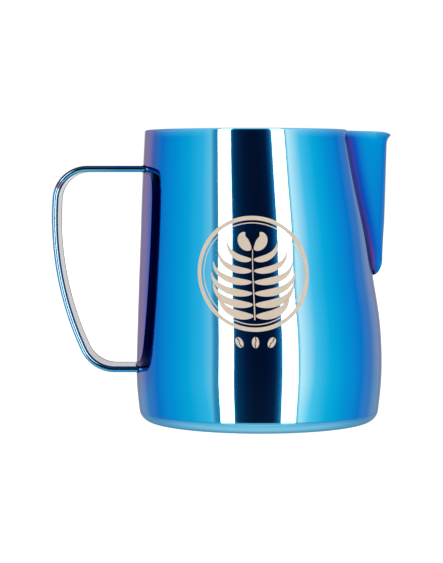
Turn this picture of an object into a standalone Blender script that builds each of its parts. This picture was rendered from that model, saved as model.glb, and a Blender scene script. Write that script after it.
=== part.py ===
"""Milk frothing pitcher, nominal 600 ml.

Frame: metres, +Z up, origin in the middle of the flat underside,
+X towards the spout, handle on -X, the XZ plane is the symmetry plane.

Pieces: a drawn wall (body_shell) with a notch for the spout, a pressed
V spout set into that notch, a pressed base pan butted under the wall,
a C-section strap handle and the weld beads that join them.

Sizes are in millimetres; add_object scales them to metres.
"""
import bpy
import math
import numpy as np

MM = 0.001
RIM_HEIGHT = 106.0          # top of the rim above the table
WALL = 1.0                  # sheet thickness of wall, spout and base
GAP = 0.3                   # clearance kept between neighbouring solids
SEAM_HEIGHT = 3.9           # height of the wall/base joint
SPOUT_BOTTOM = 53.2         # height of the lower end of the notch
WELD_R = 0.45

# Directions a wall point can face, as angles: 0 is -Y, positive towards +X
TO_HANDLE = -math.pi / 2
TO_SPOUT = math.pi / 2


# --------------------------------------------------------------- wall shape
# height, reach towards the handle, reach towards the spout
WALL_STATIONS = np.array((
    (SEAM_HEIGHT, 43.84, 43.84),
    (13.8, 44.80, 44.85),
    (27.5, 44.72, 44.95),
    (40.3, 44.30, 43.80),
    (53.0, 43.85, 41.70),
    (69.2, 43.25, 39.55),
    (87.0, 42.60, 36.30),
    (98.8, 42.02, 34.25),
    (RIM_HEIGHT, 41.66, 33.15),
))
SKEW_TOP = 3.1              # how much flatter the handle side of the mouth is
SKEW_START = 38.0           # height where that skew begins
CLOSE_FROM = math.radians(60.0)         # facing angle where the halves start to close
NOTCH_HALF_ANGLE = math.radians(23.0)   # half opening of the notch at the rim
NOTCH_GROWTH = 1.65         # larger opens the notch sooner above its end
NOTCH_END_POWER = 0.49      # smaller makes the lower end blunter


def natural_spline(xs, ys):
    """Natural cubic spline through design stations."""
    count = len(xs)
    step = np.diff(xs)
    slope = np.diff(ys) / step
    matrix = np.eye(count)
    rhs = np.zeros(count)
    for i in range(1, count - 1):
        matrix[i, i - 1] = step[i - 1]
        matrix[i, i] = 2.0 * (step[i - 1] + step[i])
        matrix[i, i + 1] = step[i]
        rhs[i] = 6.0 * (slope[i] - slope[i - 1])
    bend = np.linalg.solve(matrix, rhs)     # second derivative at each station

    def value(x):
        i = np.clip(np.searchsorted(xs, x) - 1, 0, count - 2)
        width = step[i]
        low = (xs[i + 1] - x) / width
        high = (x - xs[i]) / width
        return (low * ys[i] + high * ys[i + 1]
                + ((low ** 3 - low) * bend[i] + (high ** 3 - high) * bend[i + 1])
                * width * width / 6.0)
    return value


def smoother(t):
    """Step from 0 to 1 with flat slope and curvature at both ends."""
    t = np.clip(t, 0.0, 1.0)
    return t * t * t * (t * (6.0 * t - 15.0) + 10.0)


reach_back = natural_spline(WALL_STATIONS[:, 0], WALL_STATIONS[:, 1])
reach_front = natural_spline(WALL_STATIONS[:, 0], WALL_STATIONS[:, 2])


def skew_at(z):
    t = np.clip((z - SKEW_START) / (RIM_HEIGHT - SKEW_START), 0.0, 1.0)
    return SKEW_TOP * t * t * (3.0 - 2.0 * t)


def wall_point(facing, z, depth=0.0):
    """Point of the wall on the -Y half; facing is the direction the wall looks
    (TO_HANDLE .. TO_SPOUT), depth goes into the sheet."""
    back, skew = reach_back(z), skew_at(z)
    radius = 0.5 * (back + reach_front(z))
    sin, cos = np.sin(facing), np.cos(facing)
    x = -back + radius * (1.0 + sin) + 0.5 * skew * cos ** 2
    y = (-radius * cos - 0.5 * skew * (facing - TO_HANDLE)
         + 0.25 * skew * np.sin(2 * facing))
    # the skew leaves the spout end off the symmetry plane; ease it back
    closing = smoother((facing - CLOSE_FROM) / (TO_SPOUT - CLOSE_FROM))
    y = y + 0.5 * math.pi * skew * closing
    return np.stack([x - depth * sin, y + depth * cos, np.full_like(x, z)], axis=-1)


def wall_x_at(y, z):
    """X of the wall's outer face on the handle side for a given |y|."""
    points = wall_point(np.linspace(TO_HANDLE, -math.pi / 4, 200), z)
    return float(np.interp(abs(y), -points[:, 1], points[:, 0]))


def notch_angle(z):
    """Half opening of the notch; blunt round lower end, slow growth above."""
    t = np.clip((z - SPOUT_BOTTOM) / (RIM_HEIGHT - SPOUT_BOTTOM), 0.0, 1.0)
    return NOTCH_HALF_ANGLE * (1.0 - (1.0 - t) ** NOTCH_GROWTH) ** NOTCH_END_POWER


# ------------------------------------------------------------ object builder
def steel(name, color, roughness):
    """Fully metallic material; color is linear RGB."""
    mat = bpy.data.materials.new(name)
    mat.use_nodes = True
    inputs = mat.node_tree.nodes["Principled BSDF"].inputs
    inputs["Base Color"].default_value = (*color, 1.0)
    inputs["Roughness"].default_value = roughness
    inputs["Metallic"].default_value = 1.0
    mat.diffuse_color = (*color, 1.0)
    return mat


def add_object(name, verts, faces, mat):
    """Smooth-shaded object from millimetre vertices, normals outwards."""
    mesh = bpy.data.meshes.new(name)
    mesh.from_pydata((np.array(verts, float) * MM).tolist(), [], faces)
    mesh.validate()
    mesh.materials.append(mat)
    volume = 0.0
    for poly in mesh.polygons:
        poly.use_smooth = True
        corners = [mesh.vertices[i].co for i in poly.vertices]
        for k in range(1, len(corners) - 1):
            volume += corners[0].dot(corners[k].cross(corners[k + 1]))
    if volume < 0.0:
        mesh.flip_normals()
    obj = bpy.data.objects.new(name, mesh)
    bpy.context.scene.collection.objects.link(obj)


def quad(faces, *corners):
    """Add a quad that collapses to a triangle when two corners coincide."""
    ring = list(dict.fromkeys(corners))
    if len(ring) >= 3:
        faces.append(tuple(ring))


# ---------------------------------------------------------------- body shell
RIM_ROUND_H = 0.6           # height of the rounded rim edge
RIM_ROUND_W = 0.5           # how much of the sheet that rounding eats
RIM_INNER_DROP = 0.15       # inner edge of the rim under its top
BODY_SEGMENTS = 60
ROW_CROWDING = 1.9          # over 1 packs rows towards the lower end of the spout


def build_body(mat):
    around = np.linspace(-1.0, 1.0, BODY_SEGMENTS + 1)    # 0 at the handle
    closed_z = np.linspace(SEAM_HEIGHT + GAP, SPOUT_BOTTOM, 9)
    open_t = np.linspace(0.0, 1.0, 13)[1:] ** ROW_CROWDING
    open_z = SPOUT_BOTTOM + (RIM_HEIGHT - RIM_ROUND_H - SPOUT_BOTTOM) * open_t
    heights = [*closed_z, *open_z]
    tip_row = len(closed_z) - 1
    top_row = len(heights) - 1          # last row under the rounded rim

    outer_rows = [(z, 0.0) for z in heights]
    for degrees in (30.0, 60.0, 90.0):
        t = math.radians(degrees)
        outer_rows.append((RIM_HEIGHT - RIM_ROUND_H * (1.0 - math.sin(t)),
                           RIM_ROUND_W * (1.0 - math.cos(t))))
    inner_rows = [(z, WALL) for z in heights]
    inner_rows.append((RIM_HEIGHT - RIM_INNER_DROP, WALL))
    verts = []

    def add_layer(rows):
        """Vertex ids row by row; rows up to the tip are closed rings."""
        ids = []
        for j, (z, depth) in enumerate(rows):
            facing = TO_HANDLE + (math.pi - notch_angle(z)) * np.abs(around)
            points = wall_point(facing, z, depth)
            points[:, 1] *= np.where(around > 0, -1.0, 1.0)
            row = list(range(len(verts), len(verts) + len(points)))
            if j <= tip_row:
                points[0, 1] = 0.0
                points = points[:-1]
                row[-1] = row[0]
            verts.extend(points)
            ids.append(row)
        return ids

    outer = add_layer(outer_rows)
    inner = add_layer(inner_rows)
    faces = []
    for grid, flip in ((outer, False), (inner, True)):
        for low, high in zip(grid[:-1], grid[1:]):
            for i in range(BODY_SEGMENTS):
                if flip:
                    quad(faces, low[i], high[i], high[i + 1], low[i + 1])
                else:
                    quad(faces, low[i], low[i + 1], high[i + 1], high[i])
    # rim and bottom edge
    for i in range(BODY_SEGMENTS):
        quad(faces, outer[-1][i], outer[-1][i + 1], inner[-1][i + 1], inner[-1][i])
        quad(faces, inner[0][i], inner[0][i + 1], outer[0][i + 1], outer[0][i])
    # notch edges
    for j in range(tip_row, top_row):
        quad(faces, outer[j][0], outer[j + 1][0], inner[j + 1][0], inner[j][0])
        quad(faces, inner[j][-1], inner[j + 1][-1], outer[j + 1][-1], outer[j][-1])
    # top of the notch edges: the rounded rim rows close against the inner rows
    first_edge = [row[0] for row in outer[top_row:]]
    last_edge = [row[-1] for row in outer[top_row:]]
    faces.append((*first_edge, inner[-1][0], inner[-2][0]))
    faces.append((*last_edge[::-1], inner[-2][-1], inner[-1][-1]))
    add_object("body_shell", verts, faces, mat)


# --------------------------------------------------------------------- spout
# height, reach of the spout's front edge
KEEL_STATIONS = np.array((
    (SPOUT_BOTTOM, 45.30),
    (60.0, 45.25),
    (70.0, 45.70),
    (82.0, 46.10),
    (94.0, 46.40),
    (RIM_HEIGHT, 46.75),
))
SPOUT_ROWS = 16
SPOUT_HALF_SEGMENTS = 11
SPOUT_EDGE_SPACING = 0.97   # towards 1 packs columns more tightly at the creases
SPOUT_END_CLEAR = 0.12      # extra clearance at the lower end
SPOUT_END_LEN = 6.0         # height over which the lower end swells out
GAP_RADIUS = 41.0           # radius at which the gap is turned into an angle
LIP_FLARE = 2.05            # reach added by the flare at one lip length
LIP_LEN = 4.2               # height scale over which the lip turns out
LIP_DIP = 1.25              # how far the lip tip sits under the rim plane
LIP_FADE_END = 0.8          # share of the half section that the flare covers
LIP_SPREAD = math.radians(25.0)         # sideways lean of the flare
CREASE_TURN = math.radians(-4.0)        # turn of the section where it leaves the wall
END_TURN_LOSS = 0.3         # share of that turn lost at the lower end
CREASE_PULL = 0.395         # tangent length at the crease, per chord
FRONT_PULL = 0.19           # tangent length at the front edge, per chord
FRONT_PULL_MAX = 4.1
CREASE_BLEND = 0.10         # share of the half section squared up to the wall

keel_line = natural_spline(KEEL_STATIONS[:, 0], KEEL_STATIONS[:, 1])


def crease_facing(z):
    """Facing angle of the wall where the spout edge meets it, gap allowed for."""
    return TO_SPOUT - (notch_angle(z - GAP) - GAP / GAP_RADIUS)


def rim_drop(v):
    """How far the spout edge sits under the rim plane, v = 0 at the tip."""
    return LIP_DIP * (1.0 - smoother(v))


def spout_point(z, v):
    """Outer point on the -Y half at height z; v runs 0 (front) to 1 (crease)."""
    facing = crease_facing(z)
    end_t = np.minimum((z - SPOUT_BOTTOM) / SPOUT_END_LEN, 1.0)
    swell = np.sqrt(1.0 - (1.0 - end_t) ** 2)
    wall_front = reach_front(z)

    # cubic Bezier section from the crease to the front edge
    crease = wall_point(facing, z)[:2]
    front = np.array([wall_front + (keel_line(z) - wall_front) * swell, 0.0])
    chord = np.linalg.norm(front - crease)
    turn = facing + CREASE_TURN * (1.0 - END_TURN_LOSS * (1.0 - swell))
    crease_pull = CREASE_PULL * chord * np.array([np.cos(turn), np.sin(turn)])
    front_pull = np.array([0.0, -min(FRONT_PULL * chord, FRONT_PULL_MAX)])
    w = 1.0 - v
    x, y = (v ** 3 * crease + 3 * w * v ** 2 * (crease + crease_pull)
            + 3 * w * w * v * (front + front_pull) + w ** 3 * front)

    # the pouring lip turns outwards, most at the tip
    lip_t = max((z - (RIM_HEIGHT - LIP_DIP - LIP_LEN)) / LIP_LEN, 0.0)
    flare = (1.0 - smoother(v / LIP_FADE_END)) * LIP_FLARE * lip_t ** 3
    return x + flare, y - flare * math.sin(LIP_SPREAD) * v, z


def spout_normals(outer, across):
    """Unit normals of the outer face, used to set the sheet thickness."""
    normals = np.cross(np.gradient(outer, axis=1), np.gradient(outer, axis=0))
    normals /= np.linalg.norm(normals, axis=-1, keepdims=True)
    # along the crease the sheet edge is square to the wall it meets
    facing = crease_facing(outer[:, 0, 2])[:, None]
    side = np.where(across < 0, -1.0, 1.0)
    wall_normals = np.stack(np.broadcast_arrays(
        np.sin(facing), side * np.cos(facing), 0.0), axis=-1)
    blend = np.exp(-((1.0 - np.abs(across)) / CREASE_BLEND) ** 2)[None, :, None]
    normals = normals * (1.0 - blend) + wall_normals * blend
    normals[-1, :, 2] = 0.0
    return normals / np.linalg.norm(normals, axis=-1, keepdims=True)


def build_spout(mat):
    half = np.sin(np.linspace(0.0, 1.0, SPOUT_HALF_SEGMENTS + 1)
                  * math.pi / 2 * SPOUT_EDGE_SPACING)
    half /= half[-1]
    across = np.concatenate([-half[::-1], half[1:]])      # -1 (-Y) .. 1 (+Y)
    bottom = SPOUT_BOTTOM + GAP + SPOUT_END_CLEAR
    rows = []
    for t in np.linspace(0.0, 1.0, SPOUT_ROWS):
        row = []
        for v in across:
            top = RIM_HEIGHT - rim_drop(abs(v))
            x, y, z = spout_point(bottom + (top - bottom) * t ** ROW_CROWDING, abs(v))
            row.append((x, -y if v > 0 else y, z))
        rows.append(row)
    outer = np.array(rows)
    inner = outer - spout_normals(outer, across) * WALL
    inner[-1, :, 2] = outer[-1, :, 2]

    verts = np.concatenate([outer.reshape(-1, 3), inner.reshape(-1, 3)])
    out, inn = np.arange(len(verts)).reshape(2, SPOUT_ROWS, len(across)).tolist()
    faces = []
    for j in range(SPOUT_ROWS - 1):
        for i in range(len(across) - 1):
            faces.append((out[j][i], out[j][i + 1], out[j + 1][i + 1], out[j + 1][i]))
            faces.append((inn[j][i], inn[j + 1][i], inn[j + 1][i + 1], inn[j][i + 1]))
    # top and bottom edges
    for i in range(len(across) - 1):
        faces.append((out[-1][i], out[-1][i + 1], inn[-1][i + 1], inn[-1][i]))
        faces.append((inn[0][i], inn[0][i + 1], out[0][i + 1], out[0][i]))
    # crease edges
    for j in range(SPOUT_ROWS - 1):
        faces.append((inn[j][0], out[j][0], out[j + 1][0], inn[j + 1][0]))
        faces.append((out[j][-1], inn[j][-1], inn[j + 1][-1], out[j + 1][-1]))
    add_object("spout", verts, faces, mat)


# ------------------------------------------------------------------ base pan
FOOT_FLAT_R = 39.6
GROOVE_IN, GROOVE_OUT, GROOVE_DEPTH = 27.0, 31.0, 0.8
GROOVE_RAMP = 0.8           # width of each sloping side, underneath
GROOVE_RAMP_SHIFT = 0.4     # upper ramp ends, either side of the groove radii
FOOT_TURN = math.radians(79.0)          # arc of the outer foot curve
FOOT_OUTER_STEPS = 8
FOOT_INNER_STEPS = 6
BASE_SEGMENTS = 64
SEAM_WELD_HALF_H = 0.9
SEAM_WELD_SIDES = 8
SEAM_WELD_SEGMENTS = 56


def lathe(name, profile, mat, segments):
    """Closed profile (radius, z) turned about Z; points at radius 0 become poles."""
    verts, rings = [], []
    for radius, z in profile:
        base = len(verts)
        if radius == 0.0:
            rings.append([base] * segments)
            verts.append((0.0, 0.0, z))
            continue
        rings.append(list(range(base, base + segments)))
        for k in range(segments):
            t = 2.0 * math.pi * k / segments
            verts.append((radius * math.cos(t), radius * math.sin(t), z))
    pairs = list(zip(rings[:-1], rings[1:]))
    if profile[0][0] > 0.0:
        pairs.append((rings[-1], rings[0]))
    faces = []
    for a, b in pairs:
        for k in range(segments):
            m = (k + 1) % segments
            quad(faces, a[k], b[k], b[m], a[m])
    add_object(name, verts, faces, mat)


def build_base(mat):
    wall_r = float(reach_back(SEAM_HEIGHT))
    foot_w = wall_r - FOOT_FLAT_R
    # underside, from the axis outwards
    outer = [(0.0, 0.0), (GROOVE_IN, 0.0),
             (GROOVE_IN + GROOVE_RAMP, GROOVE_DEPTH),
             (GROOVE_OUT - GROOVE_RAMP, GROOVE_DEPTH),
             (GROOVE_OUT, 0.0), (FOOT_FLAT_R, 0.0)]
    for k in range(1, FOOT_OUTER_STEPS):
        t = FOOT_TURN * k / FOOT_OUTER_STEPS
        outer.append((FOOT_FLAT_R + foot_w * math.sin(t) / math.sin(FOOT_TURN),
                      SEAM_HEIGHT * (1.0 - math.cos(t)) / (1.0 - math.cos(FOOT_TURN))))
    outer.append((wall_r, SEAM_HEIGHT))
    # upper face, back to the axis
    inner = [(wall_r - WALL, SEAM_HEIGHT)]
    for k in range(FOOT_INNER_STEPS - 1, 0, -1):
        t = math.pi / 2 * k / FOOT_INNER_STEPS
        inner.append((FOOT_FLAT_R + (foot_w - WALL) * math.sin(t),
                      SEAM_HEIGHT - (SEAM_HEIGHT - WALL) * math.cos(t)))
    inner += [(FOOT_FLAT_R, WALL),
              (GROOVE_OUT + GROOVE_RAMP_SHIFT, WALL),
              (GROOVE_OUT - GROOVE_RAMP_SHIFT, WALL + GROOVE_DEPTH),
              (GROOVE_IN + GROOVE_RAMP_SHIFT, WALL + GROOVE_DEPTH),
              (GROOVE_IN - GROOVE_RAMP_SHIFT, WALL),
              (0.0, WALL)]
    lathe("base_pan", outer + inner, mat, BASE_SEGMENTS)


def build_base_weld(mat):
    """Oval bead inside the pitcher, across the wall/base joint."""
    radius = float(reach_back(SEAM_HEIGHT)) - WALL - GAP - WELD_R
    profile = []
    for k in range(SEAM_WELD_SIDES):
        t = 2.0 * math.pi * k / SEAM_WELD_SIDES
        profile.append((radius + WELD_R * math.cos(t),
                        SEAM_HEIGHT + 0.5 * GAP + SEAM_WELD_HALF_H * math.sin(t)))
    lathe("base_seam_weld", profile, mat, SEAM_WELD_SEGMENTS)


# ---------------------------------------------------------------- spout weld
BEAD_SIDES = 8
SPOUT_WELD_CLEAR = 0.05     # extra clearance from the wall
SPOUT_WELD_TOP = RIM_HEIGHT - 3.0
SPOUT_WELD_POINTS = 21      # per side
SPOUT_WELD_CROWDING = 2.1   # over 1 packs points towards the lower end


def weld_bead(name, path, mat, closed=False):
    """Round bead swept along a path with a minimal-twist frame."""
    path = np.array(path)
    before, after = np.roll(path, 1, axis=0), np.roll(path, -1, axis=0)
    if not closed:
        before[0], after[-1] = path[0], path[-1]
    tangents = after - before
    tangents /= np.linalg.norm(tangents, axis=1, keepdims=True)
    # start from Z, or from X where the path starts out nearly vertical
    normal = np.array([0.0, 0.0, 1.0])
    if abs(tangents[0].dot(normal)) > 0.9:
        normal = np.array([1.0, 0.0, 0.0])
    verts = []
    for point, tangent in zip(path, tangents):
        normal = normal - tangent * normal.dot(tangent)
        normal /= np.linalg.norm(normal)
        binormal = np.cross(tangent, normal)
        for k in range(BEAD_SIDES):
            a = 2.0 * math.pi * k / BEAD_SIDES
            verts.append(point + WELD_R * (math.cos(a) * normal + math.sin(a) * binormal))
    count = len(path)
    faces = []
    for i in range(count if closed else count - 1):
        a, b = i * BEAD_SIDES, (i + 1) % count * BEAD_SIDES
        for k in range(BEAD_SIDES):
            m = (k + 1) % BEAD_SIDES
            faces.append((a + k, a + m, b + m, b + k))
    if not closed:
        faces.append(tuple(range(BEAD_SIDES))[::-1])
        faces.append(tuple(range(len(verts) - BEAD_SIDES, len(verts))))
    add_object(name, verts, faces, mat)


def build_spout_weld(mat):
    """Bead on the milk side, down one crease, round the end, up the other."""
    t = np.linspace(0.0, 1.0, SPOUT_WELD_POINTS + 1)[1:] ** SPOUT_WELD_CROWDING
    depth = WALL + GAP + WELD_R + SPOUT_WELD_CLEAR
    side = [wall_point(TO_SPOUT - notch_angle(z), z, depth)
            for z in SPOUT_BOTTOM + (SPOUT_WELD_TOP - SPOUT_BOTTOM) * t]
    tip = wall_point(TO_SPOUT, SPOUT_BOTTOM, depth)
    tip[1] = 0.0
    mirror = np.array([1.0, -1.0, 1.0])
    weld_bead("spout_seam_weld", side[::-1] + [tip] + [p * mirror for p in side], mat)


# -------------------------------------------------------------------- handle
STRAP_WIDTH = 20.0
BEAD_R = 1.1                # rolled edge of the strap
BEAD_Y = STRAP_WIDTH / 2 - BEAD_R
BEAD_POINTS = 8
WEB_OUT, WEB_IN = 0.55, -1.00           # web faces, off the centre line
WEB_CROWN = 0.25            # extra height along the middle of the web
WEB_Y = (-4.0, 0.0, 4.0)
GRIP_R = 111.9              # long arc of the grip, along the strap centre line
GRIP_X, GRIP_Z = 38.0, 73.5             # centre of that arc
TOP_CORNER_R, TOP_Z = 11.5, 92.0
LOW_CORNER_R, LOW_Z = 12.3, 19.4
CORNER_STEPS = 8
GRIP_STEPS = 10
TOP_ARM_STEPS = 5
LOW_ARM_STEPS = 3
HANDLE_WELD_CLEAR = 0.08    # extra clearance from the wall
WELD_LONG_STEPS, WELD_END_STEPS = 9, 5


def corner_centre_x(radius, z):
    """X of the centre of a corner arc that runs smoothly into the grip arc."""
    return GRIP_X - math.sqrt((GRIP_R - radius) ** 2 - (z - GRIP_Z) ** 2)


def arc(x, z, radius, start, end, fractions):
    return [(x + radius * math.cos(a), z + radius * math.sin(a), math.cos(a), math.sin(a))
            for a in start + (end - start) * fractions]


def handle_path():
    """Strap centre line as (x, z, outward x, outward z), from the top arm down."""
    top_z = TOP_Z - TOP_CORNER_R
    top_x = corner_centre_x(TOP_CORNER_R, top_z)
    low_z = LOW_Z + LOW_CORNER_R
    low_x = corner_centre_x(LOW_CORNER_R, low_z)
    top_angle = math.atan2(top_z - GRIP_Z, top_x - GRIP_X)
    low_angle = math.atan2(low_z - GRIP_Z, low_x - GRIP_X) + 2 * math.pi
    top_wall = -float(reach_back(TOP_Z))
    low_wall = -float(reach_back(LOW_Z))
    corner = np.linspace(0.0, 1.0, CORNER_STEPS + 1)
    grip = np.linspace(0.0, 1.0, GRIP_STEPS + 1)[1:-1]

    path = [(top_wall + (top_x - top_wall) * k / TOP_ARM_STEPS, TOP_Z, 0.0, 1.0)
            for k in range(TOP_ARM_STEPS)]
    path += arc(top_x, top_z, TOP_CORNER_R, math.pi / 2, top_angle, corner)
    path += arc(GRIP_X, GRIP_Z, GRIP_R, top_angle, low_angle, grip)
    path += arc(low_x, low_z, LOW_CORNER_R, low_angle, 1.5 * math.pi, corner)
    path += [(low_x + (low_wall - low_x) * k / LOW_ARM_STEPS, LOW_Z, 0.0, -1.0)
             for k in range(1, LOW_ARM_STEPS + 1)]
    return path


def strap_section():
    """Section (y, outward): round beads along both edges and a thinner web between
    them, crowned outside and nearly level with the beads on the finger side.
    Order: outer web, +Y bead, inner web, -Y bead."""
    start = math.pi - math.asin(WEB_OUT / BEAD_R)
    end = -math.pi + math.asin(-WEB_IN / BEAD_R)
    bead = [(BEAD_Y + BEAD_R * math.cos(a), BEAD_R * math.sin(a))
            for a in np.linspace(start, end, BEAD_POINTS)]
    outer_web = [(y, WEB_OUT + WEB_CROWN * (1.0 - (y / BEAD_Y) ** 2)) for y in WEB_Y]
    inner_web = [(y, WEB_IN) for y in WEB_Y[::-1]]
    return outer_web + bead + inner_web + [(-y, h) for y, h in bead[::-1]]


def build_handle(mat):
    path = handle_path()
    section = strap_section()
    size = len(section)
    last = len(path) - 1
    verts = []
    for i, (path_x, path_z, out_x, out_z) in enumerate(path):
        for y, h in section:
            x, z = path_x + out_x * h, path_z + out_z * h
            if i in (0, last):
                x = wall_x_at(y, z) - GAP
            verts.append((x, y, z))
    faces = []
    for i in range(last):
        a, b = i * size, (i + 1) * size
        for k in range(size):
            m = (k + 1) % size
            faces.append((a + k, a + m, b + m, b + k))

    # end caps: a strip of quads across the web and one polygon per bead
    web = len(WEB_Y)
    right = range(web, web + BEAD_POINTS)
    left = range(size - BEAD_POINTS, size)
    outer_edge = [left[-1], *range(web), right[0]]
    inner_edge = [left[0], *range(left[0] - 1, right[-1], -1), right[-1]]
    caps = list(zip(outer_edge[:-1], outer_edge[1:], inner_edge[1:], inner_edge[:-1]))
    caps += [tuple(right), tuple(left)]
    for cap in caps:
        faces.append(cap[::-1])
        faces.append(tuple(last * size + k for k in cap))
    add_object("handle_strap", verts, faces, mat)


def build_handle_weld(name, arm_z, mat):
    """Bead round the end of an arm, just clear of strap and wall."""
    half_y = BEAD_Y + GAP + WELD_R
    half_z = BEAD_R + GAP + WELD_R
    loop = []
    for side in (1, -1):        # top run and +Y end, then bottom run and -Y end
        for k in range(WELD_LONG_STEPS):
            loop.append((side * half_y * (2 * k / WELD_LONG_STEPS - 1), side * half_z))
        for k in range(WELD_END_STEPS):
            a = side * math.pi / 2 - math.pi * k / WELD_END_STEPS
            loop.append((side * half_y + half_z * math.cos(a), half_z * math.sin(a)))
    offset = GAP + WELD_R + HANDLE_WELD_CLEAR
    path = [(wall_x_at(y, arm_z + dz) - offset, y, arm_z + dz) for y, dz in loop]
    weld_bead(name, path, mat, closed=True)


# --------------------------------------------------------------------- scene
def main():
    for obj in list(bpy.data.objects):
        bpy.data.objects.remove(obj, do_unlink=True)
    body = steel("pvd_blue_steel", color=(0.02, 0.30, 0.62), roughness=0.12)
    spout = steel("pvd_blue_spout", color=(0.02, 0.26, 0.60), roughness=0.12)
    base = steel("pvd_blue_base", color=(0.04, 0.32, 0.62), roughness=0.14)
    handle = steel("pvd_blue_handle", color=(0.03, 0.30, 0.58), roughness=0.16)
    bead = steel("weld_bead", color=(0.30, 0.34, 0.45), roughness=0.35)
    bare_bead = steel("weld_bead_bare", color=(0.55, 0.54, 0.52), roughness=0.38)
    build_body(body)
    build_spout(spout)
    build_base(base)
    build_base_weld(bare_bead)
    build_spout_weld(bare_bead)
    build_handle(handle)
    build_handle_weld("handle_upper_weld", TOP_Z, bead)
    build_handle_weld("handle_lower_weld", LOW_Z, bead)


main()
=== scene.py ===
"""Looks of a milk frothing pitcher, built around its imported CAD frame.

The pitcher stands upright: origin in the middle of the underside, +Z up, +X
towards the spout, strap handle on the -X side, emblem facing the camera on -Y.
Mesh code works in millimetres and make_mesh turns them into metres; materials,
studio and camera are in metres. The shape functions follow the CAD design.
"""
import math

import bpy
import numpy as np
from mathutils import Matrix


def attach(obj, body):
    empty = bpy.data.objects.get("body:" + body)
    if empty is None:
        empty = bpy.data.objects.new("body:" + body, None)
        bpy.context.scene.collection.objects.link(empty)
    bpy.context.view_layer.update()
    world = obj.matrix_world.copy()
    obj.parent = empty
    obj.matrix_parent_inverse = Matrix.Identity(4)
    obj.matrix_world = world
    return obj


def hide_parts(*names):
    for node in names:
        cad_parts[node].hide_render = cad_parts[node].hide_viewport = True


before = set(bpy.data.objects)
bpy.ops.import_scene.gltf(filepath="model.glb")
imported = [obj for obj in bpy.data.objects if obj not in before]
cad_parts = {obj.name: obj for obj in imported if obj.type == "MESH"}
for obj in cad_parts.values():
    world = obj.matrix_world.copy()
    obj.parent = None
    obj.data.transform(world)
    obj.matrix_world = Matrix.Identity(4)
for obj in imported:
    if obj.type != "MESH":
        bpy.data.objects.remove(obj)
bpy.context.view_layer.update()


MM = 0.001

# ------------------------------------------------------------------ sizes, mm
RIM_HEIGHT = 106.0
WALL = 1.0
SEAM_HEIGHT = 3.9  # joint of wall and base pan
RIM_ROUND_H, RIM_ROUND_W = 0.6, 0.5  # outer rounding of the rim
RIM_INNER_R = 0.25
WALL_STATIONS = (
    # height, reach of the wall to the back (-X), reach to the front (+X)
    (SEAM_HEIGHT, 43.84, 43.84),
    (13.8, 44.80, 44.85),
    (27.5, 44.72, 44.95),
    (40.3, 44.30, 43.80),
    (53.0, 43.85, 41.70),
    (69.2, 43.25, 39.55),
    (87.0, 42.60, 36.30),
    (98.8, 42.02, 34.25),
    (RIM_HEIGHT, 41.66, 33.15),
)
SKEW_TOP, SKEW_START = 3.1, 38.0  # how far the plan leaves a circle, and from what height
CLOSE_FROM = math.radians(60.0)  # the skewed plan is drawn shut from here to the front

SPOUT_BOTTOM = 53.2
SPOUT_HALF_ANGLE = math.radians(23.0)
KEEL_STATIONS = (
    # height, reach of the spout's front line
    (SPOUT_BOTTOM, 45.30), (60.0, 45.25), (70.0, 45.70),
    (82.0, 46.10), (94.0, 46.40), (RIM_HEIGHT, 46.75),
)
SPOUT_END_LEN = 6.0  # height over which the spout swells out of the wall
LIP_FLARE, LIP_LEN, LIP_DIP = 2.05, 4.2, 1.25
CREASE_TURN = math.radians(-4.0)

FOOT_FLAT_R = 39.6
GROOVE_IN, GROOVE_OUT, GROOVE_DEPTH = 27.0, 31.0, 0.8  # ring groove under the base
GROOVE_SLOPE, GROOVE_INSET = 1.4, 0.4  # slope width, and shift of its inner face

STRAP_WIDTH, BEAD_R = 20.0, 1.1
BEAD_Y = STRAP_WIDTH / 2 - BEAD_R  # centre of a strap edge bead
WEB_OUT, WEB_IN = 0.55, -1.00  # faces of the web, measured outwards
WEB_CROWN = 0.25
GRIP_R, GRIP_X, GRIP_Z = 111.9, 38.0, 73.5
TOP_CORNER_R, TOP_Z = 11.5, 92.0
LOW_CORNER_R, LOW_Z = 12.3, 19.4
STRAP_STEP = 0.55
END_RINGS = 6  # strap rings that share the trim to the wall


# ---------------------------------------------------------- shape functions
def natural_spline(xs, ys):
    count = len(xs)
    gaps = np.diff(xs)
    matrix = np.eye(count)
    rhs = np.zeros(count)
    for i in range(1, count - 1):
        matrix[i, i - 1] = gaps[i - 1]
        matrix[i, i] = 2.0 * (gaps[i - 1] + gaps[i])
        matrix[i, i + 1] = gaps[i]
        rhs[i] = 6.0 * ((ys[i + 1] - ys[i]) / gaps[i] - (ys[i] - ys[i - 1]) / gaps[i - 1])
    bend = np.linalg.solve(matrix, rhs)

    def value_at(x):
        x = np.asarray(x, float)
        i = np.clip(np.searchsorted(xs, x) - 1, 0, count - 2)
        gap = gaps[i]
        before = (xs[i + 1] - x) / gap
        after = (x - xs[i]) / gap
        curve = (before ** 3 - before) * bend[i] + (after ** 3 - after) * bend[i + 1]
        return before * ys[i] + after * ys[i + 1] + curve * gap * gap / 6.0
    return value_at


def smoother(x):
    x = np.clip(x, 0.0, 1.0)
    return x * x * x * (x * (6.0 * x - 15.0) + 10.0)


def quarter_turn(steps):
    """Angles of a quarter arc, without its start."""
    return [math.pi / 2 * k / steps for k in range(1, steps + 1)]


station_z, station_back, station_front = np.array(WALL_STATIONS).T
reach_back = natural_spline(station_z, station_back)
reach_front = natural_spline(station_z, station_front)
keel_line = natural_spline(*np.array(KEEL_STATIONS).T)


def skew(z):
    share = np.clip((z - SKEW_START) / (RIM_HEIGHT - SKEW_START), 0.0, 1.0)
    return SKEW_TOP * share * share * (3.0 - 2.0 * share)


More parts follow.
